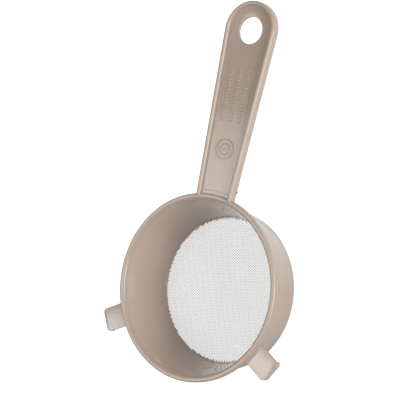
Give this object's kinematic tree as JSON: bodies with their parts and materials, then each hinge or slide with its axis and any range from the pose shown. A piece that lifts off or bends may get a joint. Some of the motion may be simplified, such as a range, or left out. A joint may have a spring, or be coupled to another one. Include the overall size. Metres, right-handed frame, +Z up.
{
  "type": "flour sifter",
  "caption": "Round plastic hand sifter: tapered cup with a fine woven mesh floor, rolled rim, long flanged handle with a hanging hole, and hooked rest lugs.",
  "frame": {"origin": "middle of the footprint rectangle, on the surface the base ring stands on", "axes": "+X along the handle towards its tip, +Z up through the open mouth of the cup, +Y completes the right-handed frame; symmetric about y = 0"},
  "size_m": [0.2448, 0.1382, 0.0379],
  "materials": {
    "body_plastic": "glossy injection-moulded taupe plastic",
    "mesh_cloth": "white monofilament plain weave"
  },
  "bodies": {
    "root": {"cup_wall": "body_plastic", "rim_bead": "body_plastic", "base_ring": "body_plastic", "mesh_screen": "mesh_cloth", "handle_web": "body_plastic", "handle_border": "body_plastic", "left_rest_lug": "body_plastic", "right_rest_lug": "body_plastic"}
  },
  "joints": []
}
